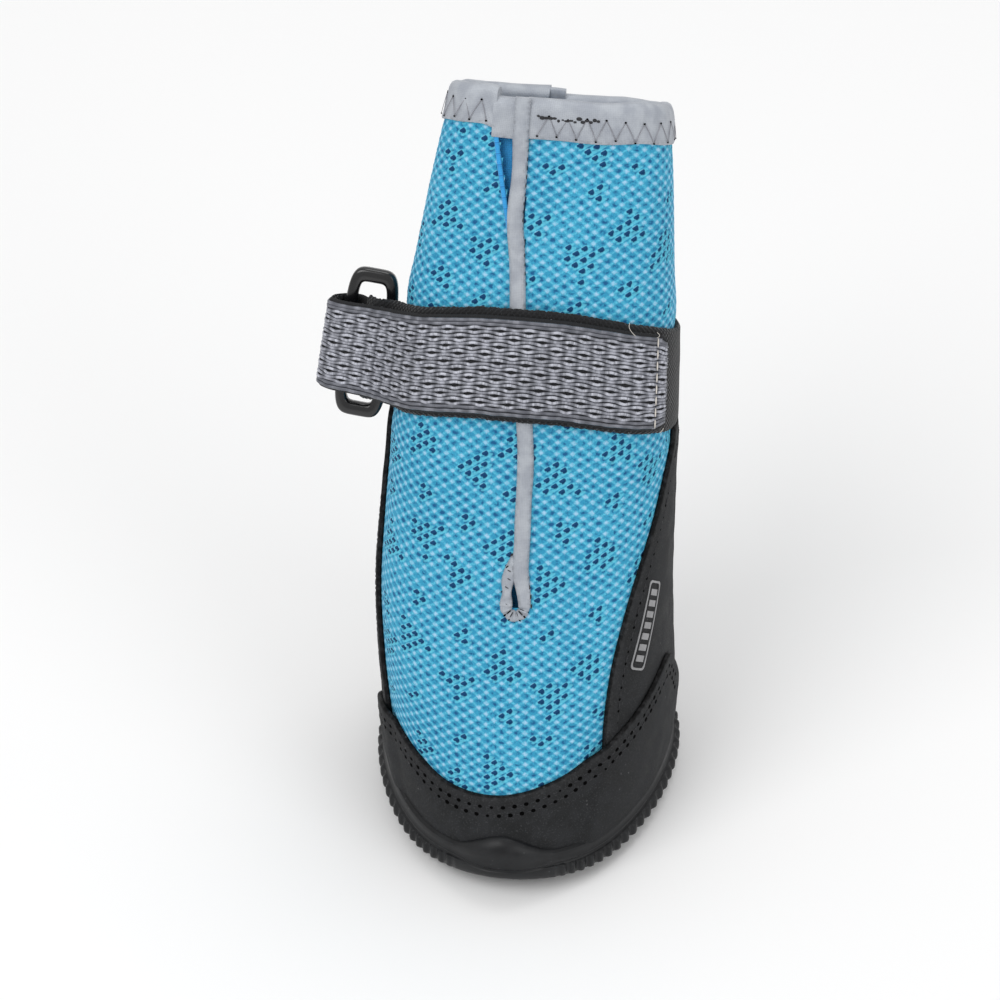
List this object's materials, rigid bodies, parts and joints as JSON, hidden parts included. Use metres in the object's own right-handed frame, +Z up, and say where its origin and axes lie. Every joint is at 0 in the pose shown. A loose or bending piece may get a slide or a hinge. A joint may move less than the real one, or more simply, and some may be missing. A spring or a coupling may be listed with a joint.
{
  "type": "dog boot",
  "caption": "Soft dog boot: air-mesh shaft with a bound front slit, leather toe cap and heel panel, rubber cup sole, webbing strap folded through a plastic slot ring.",
  "frame": {"origin": "on the floor, on the flat forefoot lugs under the middle of the sole", "axes": "+Z up, the toe points along -Y, +X is the boot's outer side, away from the other boot of the pair"},
  "size_m": [0.0741, 0.0847, 0.148],
  "materials": {
    "rubber": "moulded, satin",
    "foam": "fabric-faced foam, matt",
    "air_mesh": "knitted air mesh, sky blue",
    "tricot": "smooth knit, blue",
    "black_leather": "fine-grain synthetic nubuck, matt",
    "reflective_tape": "grey reflective binding tape, satin",
    "strap_webbing": "grey and black woven webbing",
    "black_plastic": "glossy moulding",
    "black_webbing": "woven webbing, matt"
  },
  "bodies": {
    "root": {"outsole": "rubber", "insole": "foam", "upper": "air_mesh", "gusset": "tricot", "toe_cap": "black_leather", "quarter": "black_leather", "throat_binding": "reflective_tape", "collar_binding": "reflective_tape", "strap": "strap_webbing", "strap_ring": "black_plastic", "ring_loop": "black_webbing"}
  },
  "joints": []
}
